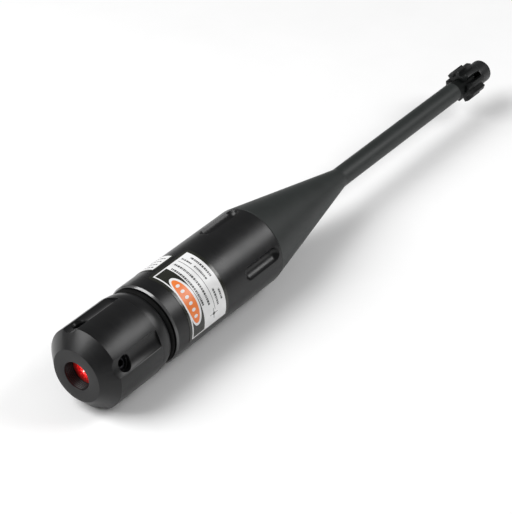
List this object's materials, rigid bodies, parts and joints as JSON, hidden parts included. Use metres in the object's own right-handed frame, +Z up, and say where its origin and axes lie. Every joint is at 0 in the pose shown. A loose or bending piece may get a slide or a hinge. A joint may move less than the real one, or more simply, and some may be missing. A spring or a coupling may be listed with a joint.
{
  "type": "laser bore sighter",
  "caption": "Slim black laser sighting tool: an aperture in a screw-on grooved head, a battery tube tapering to a long stem, and an expanding finned plug at its tip.",
  "frame": {"origin": "centre of the laser aperture in the nose face, on the optical axis", "axes": "+X forward along the beam, +Z up with the tool lying level, +Y to its left"},
  "size_m": [0.1748, 0.0212, 0.0212],
  "materials": {
    "black_anodised": "black anodised, fine turned satin",
    "black_satin": "black anodised, bead blasted satin",
    "window_glass": "clear coated glass",
    "black_rubber": "matt rubber",
    "black_plastic": "moulded matt plastic",
    "nylon": "natural nylon",
    "brass": "turned brass",
    "lens_glass": "coated lens",
    "spring_steel": "nickel plated wire",
    "gold_can": "gold plated can",
    "circuit_board": "green solder mask",
    "board_component": "moulded component bodies",
    "cell_steel": "nickel plated steel",
    "label_foil": "printed vinyl",
    "adapter_plastic": "moulded glass filled nylon",
    "dark_steel": "black oxide",
    "chrome_steel": "bright plated"
  },
  "bodies": {
    "body": {"body_tube": "black_anodised", "neck_o_ring": "black_rubber", "battery_sleeve": "black_plastic", "battery_1": "cell_steel", "battery_2": "cell_steel", "battery_3": "cell_steel", "battery_spring": "spring_steel", "main_label": "label_foil", "side_label": "label_foil", "arbor": "black_satin"},
    "cap_carriage": {"thrust_washer": "nylon"},
    "head": {"front_cap": "black_anodised", "window": "window_glass", "window_o_ring": "black_rubber", "window_ring": "black_anodised", "module_retainer": "black_plastic"},
    "pivot": {"pivot_o_ring": "black_rubber"},
    "laser_module": {"laser_barrel": "brass", "lens_holder": "brass", "collimating_lens": "lens_glass", "lens_spring": "spring_steel", "laser_diode": "gold_can", "driver_board": "circuit_board", "board_components": "board_component", "contact_spring": "spring_steel"},
    "adapter": {"adapter_sleeve": "adapter_plastic", "cone_washer": "dark_steel"},
    "screw": {"adapter_screw": "chrome_steel"},
    "aim_tip_left": {"aim_pad_left": "nylon"},
    "aim_left": {"aim_screw_left": "dark_steel"},
    "aim_tip_top": {"aim_pad_top": "nylon"},
    "aim_top": {"aim_screw_top": "dark_steel"},
    "aim_tip_right": {"aim_pad_right": "nylon"},
    "aim_right": {"aim_screw_right": "dark_steel"},
    "aim_tip_bottom": {"aim_pad_bottom": "nylon"},
    "aim_bottom": {"aim_screw_bottom": "dark_steel"},
    "leg_1": {"adapter_leg_1": "adapter_plastic"},
    "leg_2": {"adapter_leg_2": "adapter_plastic"},
    "leg_3": {"adapter_leg_3": "adapter_plastic"}
  },
  "joints": [
    {"name": "cap_travel", "type": "slide", "parent": "body", "child": "cap_carriage", "axis": [1, 0, 0], "range_m": [0, 0.0045]},
    {"name": "cap_turn", "type": "hinge", "parent": "cap_carriage", "child": "head", "pos_m": [-0.018, 0, 0], "axis": [1, 0, 0], "range_deg": [0, 2161]},
    {"name": "module_yaw", "type": "hinge", "parent": "head", "child": "pivot", "pos_m": [-0.0123, 0, 0], "axis": [0, -0.4067, 0.9135], "range_deg": [-1.25, 1.25]},
    {"name": "module_pitch", "type": "hinge", "parent": "pivot", "child": "laser_module", "pos_m": [-0.0123, 0, 0], "axis": [0, -0.9135, -0.4067], "range_deg": [-1.25, 1.25]},
    {"name": "aim_left_travel", "type": "slide", "parent": "head", "child": "aim_tip_left", "axis": [0, 0.9135, 0.4067], "range_m": [-0.000125, 0.000125]},
    {"name": "aim_left_turn", "type": "hinge", "parent": "aim_tip_left", "child": "aim_left", "pos_m": [-0.0064, 0, 0], "axis": [0, 0.9135, 0.4067], "range_deg": [-90.5, 90.5]},
    {"name": "aim_top_travel", "type": "slide", "parent": "head", "child": "aim_tip_top", "axis": [0, -0.4067, 0.9135], "range_m": [-0.000125, 0.000125]},
    {"name": "aim_top_turn", "type": "hinge", "parent": "aim_tip_top", "child": "aim_top", "pos_m": [-0.0064, 0, 0], "axis": [0, -0.4067, 0.9135], "range_deg": [-90.5, 90.5]},
    {"name": "aim_right_travel", "type": "slide", "parent": "head", "child": "aim_tip_right", "axis": [0, -0.9135, -0.4067], "range_m": [-0.000126, 0.000126]},
    {"name": "aim_right_turn", "type": "hinge", "parent": "aim_tip_right", "child": "aim_right", "pos_m": [-0.0064, 0, 0], "axis": [0, -0.9135, -0.4067], "range_deg": [-90.5, 90.5]},
    {"name": "aim_bottom_travel", "type": "slide", "parent": "head", "child": "aim_tip_bottom", "axis": [0, 0.4067, -0.9135], "range_m": [-0.000126, 0.000126]},
    {"name": "aim_bottom_turn", "type": "hinge", "parent": "aim_tip_bottom", "child": "aim_bottom", "pos_m": [-0.0064, 0, 0], "axis": [0, 0.4067, -0.9135], "range_deg": [-90.5, 90.5]},
    {"name": "adapter_travel", "type": "slide", "parent": "body", "child": "adapter", "axis": [1, 0, 0], "range_m": [0, 0.00135]},
    {"name": "adapter_screw_turn", "type": "hinge", "parent": "adapter", "child": "screw", "pos_m": [-0.172, 0, 0], "axis": [1, 0, 0], "range_deg": [0, 1080.5]},
    {"name": "leg_1_spread", "type": "hinge", "parent": "adapter", "child": "leg_1", "pos_m": [-0.16947, -0.0007, 0.00261], "axis": [0, -0.9659, -0.2588], "range_deg": [0, 1.55]},
    {"name": "leg_2_spread", "type": "hinge", "parent": "adapter", "child": "leg_2", "pos_m": [-0.16947, -0.00191, -0.00191], "axis": [0, 0.7071, -0.7071], "range_deg": [0, 1.55]},
    {"name": "leg_3_spread", "type": "hinge", "parent": "adapter", "child": "leg_3", "pos_m": [-0.16947, 0.00261, -0.0007], "axis": [0, 0.2588, 0.9659], "range_deg": [0, 1.55]}
  ],
  "couplings": [
    {"joint": "cap_turn", "follows": "cap_travel", "rad_per_m": 8377.6},
    {"joint": "aim_left_turn", "follows": "aim_left_travel", "rad_per_m": 12566},
    {"joint": "aim_right_travel", "follows": "aim_left_travel", "ratio": -1},
    {"joint": "aim_right_turn", "follows": "aim_left_travel", "rad_per_m": -12566},
    {"joint": "module_yaw", "follows": "aim_left_travel", "rad_per_m": 169.49},
    {"joint": "aim_top_turn", "follows": "aim_top_travel", "rad_per_m": 12566},
    {"joint": "aim_bottom_travel", "follows": "aim_top_travel", "ratio": -1},
    {"joint": "aim_bottom_turn", "follows": "aim_top_travel", "rad_per_m": -12566},
    {"joint": "module_pitch", "follows": "aim_top_travel", "rad_per_m": 169.49},
    {"joint": "adapter_screw_turn", "follows": "adapter_travel", "rad_per_m": 13963},
    {"joint": "leg_1_spread", "follows": "adapter_travel", "rad_per_m": 19.263},
    {"joint": "leg_2_spread", "follows": "adapter_travel", "rad_per_m": 19.263},
    {"joint": "leg_3_spread", "follows": "adapter_travel", "rad_per_m": 19.263}
  ]
}
